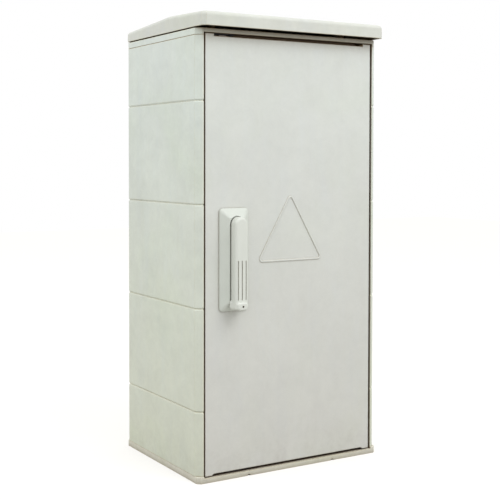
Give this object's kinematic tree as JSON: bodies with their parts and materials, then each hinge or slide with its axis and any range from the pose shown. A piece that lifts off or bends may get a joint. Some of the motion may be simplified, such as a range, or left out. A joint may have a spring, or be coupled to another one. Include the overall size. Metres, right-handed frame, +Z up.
{
  "type": "fiberglass enclosure",
  "caption": "Free-standing glass-fibre cable cabinet: grooved side walls, overhanging roof, vented door on pin hinges, swing handle with locking rods.",
  "frame": {"origin": "middle of the body's plan, on the underside of the base plate", "axes": "+Z up, the door faces -Y, the hinges are at the +X side and the handle at the -X side"},
  "size_m": [0.4, 0.3225, 0.8365],
  "materials": {
    "grp_body": "matt moulded glass-fibre polyester",
    "grp_door": "matt moulded glass-fibre polyester",
    "handle_plastic": "satin moulded polyamide",
    "bush_plastic": "smooth black acetal",
    "rubber": "matt rubber",
    "black_steel": "black-coated strike plates and screws",
    "zinc_steel": "zinc-plated sheet and bar",
    "screw_steel": "zinc-plated screws"
  },
  "bodies": {
    "cabinet": {"left_side_wall": "grp_body", "right_side_wall": "grp_body", "wall_screws": "screw_steel", "rear_wall": "grp_body", "mounting_plate": "zinc_steel", "mounting_plate_screws": "screw_steel", "base_plate": "grp_body", "top_plate": "grp_body", "cable_entry_plate": "grp_body", "entry_plate_screws": "screw_steel", "cable_grommets": "rubber", "roof": "grp_body", "roof_screws": "screw_steel", "lower_hinge_pin": "zinc_steel", "upper_hinge_pin": "zinc_steel", "lower_keeper": "black_steel", "upper_keeper": "black_steel", "keeper_screws": "black_steel"},
    "door": {"door_panel": "grp_door", "lower_hinge_bush": "bush_plastic", "upper_hinge_bush": "bush_plastic", "handle_escutcheon": "handle_plastic", "escutcheon_screws": "screw_steel", "upper_rod_guide": "bush_plastic", "lower_rod_guide": "bush_plastic", "rod_guide_screws": "screw_steel"},
    "spindle": {"spindle": "zinc_steel", "lever_pin": "zinc_steel", "lock_cam": "zinc_steel", "cam_nut": "zinc_steel"},
    "lever": {"handle_lever": "handle_plastic"},
    "upper_rod": {"upper_rod": "zinc_steel"},
    "lower_rod": {"lower_rod": "zinc_steel"}
  },
  "joints": [
    {"name": "door_hinge", "type": "hinge", "parent": "cabinet", "child": "door", "pos_m": [0.1735, -0.135, 0.402], "axis": [0, 0, 1], "range_deg": [0, 110]},
    {"name": "handle_turn", "type": "hinge", "parent": "door", "child": "spindle", "pos_m": [-0.126, -0.143, 0.459], "axis": [0, -1, 0], "range_deg": [0, 90]},
    {"name": "handle_lift", "type": "hinge", "parent": "spindle", "child": "lever", "pos_m": [-0.126, -0.164, 0.459], "axis": [-1, 0, 0], "range_deg": [0, 30]},
    {"name": "upper_rod_slide", "type": "slide", "parent": "door", "child": "upper_rod", "axis": [0, 0, -1], "range_m": [0, 0.02264]},
    {"name": "lower_rod_slide", "type": "slide", "parent": "door", "child": "lower_rod", "axis": [0, 0, 1], "range_m": [0, 0.02264]}
  ],
  "couplings": [
    {"joint": "upper_rod_slide", "follows": "handle_turn", "m_per_rad": 0.014405},
    {"joint": "lower_rod_slide", "follows": "handle_turn", "m_per_rad": 0.014405}
  ]
}
